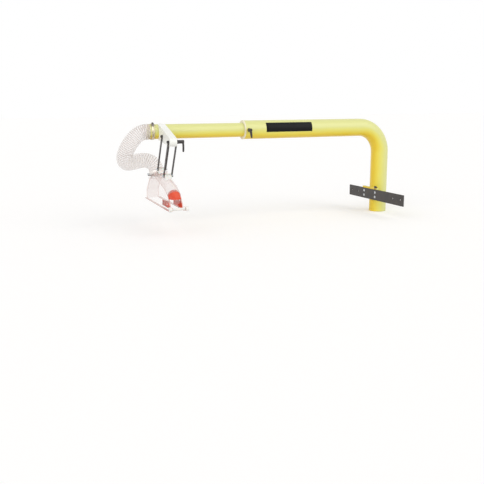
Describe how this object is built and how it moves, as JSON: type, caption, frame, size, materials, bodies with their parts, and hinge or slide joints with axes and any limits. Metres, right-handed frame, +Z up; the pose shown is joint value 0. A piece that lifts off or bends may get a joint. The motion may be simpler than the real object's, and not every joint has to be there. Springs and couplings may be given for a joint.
{
  "type": "dust collector",
  "caption": "Overarm dust collector for a table saw: bent tube column, telescoping boom, clear ribbed hose and a clear blade guard on parallel links.",
  "frame": {"origin": "middle of the bolt line on the face of the rail that meets the end of the saw table", "axes": "+X from the blade towards the column, +Y from the operator to the back, +Z up"},
  "size_m": [1.636, 0.583, 0.565],
  "materials": {
    "yellow_powder_coat": "satin powder coat",
    "white_powder_coat": "satin powder coat",
    "black_painted_steel": "satin paint",
    "zinc_steel": "bright zinc plate",
    "stainless_band": "rolled",
    "black_lever_plastic": "fine grain",
    "cream_nylon": "machined",
    "white_nylon": "moulded",
    "clear_polycarbonate": "clear",
    "red_polycarbonate": "translucent",
    "clear_hose_vinyl": "clear, slightly milky"
  },
  "bodies": {
    "stand": {"table_rail": "black_painted_steel", "mounting_bracket": "yellow_powder_coat", "bracket_screws": "zinc_steel", "bracket_nuts": "zinc_steel", "levelling_screws": "black_painted_steel", "column_tube": "yellow_powder_coat", "arm_bush": "cream_nylon", "lock_boss": "yellow_powder_coat"},
    "boom_lock": {"boom_lock_lever": "black_lever_plastic", "boom_lock_stud": "zinc_steel"},
    "boom": {"boom_tube": "yellow_powder_coat", "boom_glide": "cream_nylon", "hanger_bracket": "white_powder_coat", "rear_upper_pivot": "black_painted_steel", "front_upper_pivot": "black_painted_steel", "upper_pivot_nut": "black_painted_steel", "upper_cuff": "clear_hose_vinyl", "upper_clamp_band": "stainless_band", "upper_clamp_screw": "stainless_band", "hose": "clear_hose_vinyl"},
    "guard_lock": {"guard_lock_lever": "black_lever_plastic"},
    "rear_links": {"rear_left_link": "black_painted_steel", "rear_right_link": "black_painted_steel"},
    "front_links": {"front_left_link": "black_painted_steel", "front_right_link": "black_painted_steel"},
    "guard": {"rear_lower_pivot": "zinc_steel", "front_lower_pivot": "zinc_steel", "lower_pivot_nuts": "zinc_steel", "rear_lug": "white_nylon", "front_lug": "white_nylon", "guard_left_side": "clear_polycarbonate", "guard_right_side": "clear_polycarbonate", "guard_roof": "clear_polycarbonate", "port_collar": "clear_polycarbonate", "front_shield": "red_polycarbonate", "lower_cuff": "clear_hose_vinyl", "lower_clamp_band": "stainless_band", "lower_clamp_screw": "stainless_band"},
    "nose": {"nose_axle": "zinc_steel", "nose_left_roller": "white_nylon", "nose_right_roller": "white_nylon", "nose_sleeve": "white_nylon"}
  },
  "joints": [
    {"name": "boom_slide", "type": "slide", "parent": "stand", "child": "boom", "axis": [1, 0, 0], "range_m": [-0.1, 0.25]},
    {"name": "boom_lock_turn", "type": "hinge", "parent": "stand", "child": "boom_lock", "pos_m": [-0.825, 0.055, 0.403], "axis": [0, -1, 0], "range_deg": [0, 90]},
    {"name": "guard_lock_turn", "type": "hinge", "parent": "boom", "child": "guard_lock", "pos_m": [-1.297, -0.163, 0.359], "axis": [1, 0, 0], "range_deg": [0, 90]},
    {"name": "guard_lift", "type": "hinge", "parent": "boom", "child": "rear_links", "pos_m": [-1.297, -0.042, 0.382], "axis": [1, 0, 0], "range_deg": [0, 32], "deforming": ["hose"]},
    {"name": "front_link_swing", "type": "hinge", "parent": "boom", "child": "front_links", "pos_m": [-1.297, -0.163, 0.359], "axis": [1, 0, 0], "range_deg": [0, 32]},
    {"name": "guard_level", "type": "hinge", "parent": "rear_links", "child": "guard", "pos_m": [-1.297, 0.07261, 0.20484], "axis": [1, 0, 0], "range_deg": [-32, 0]},
    {"name": "nose_spin", "type": "hinge", "parent": "guard", "child": "nose", "pos_m": [-1.297, -0.238, 0.038], "axis": [1, 0, 0], "continuous": true}
  ],
  "couplings": [
    {"joint": "front_link_swing", "follows": "guard_lift", "ratio": 1},
    {"joint": "guard_level", "follows": "guard_lift", "ratio": -1}
  ]
}
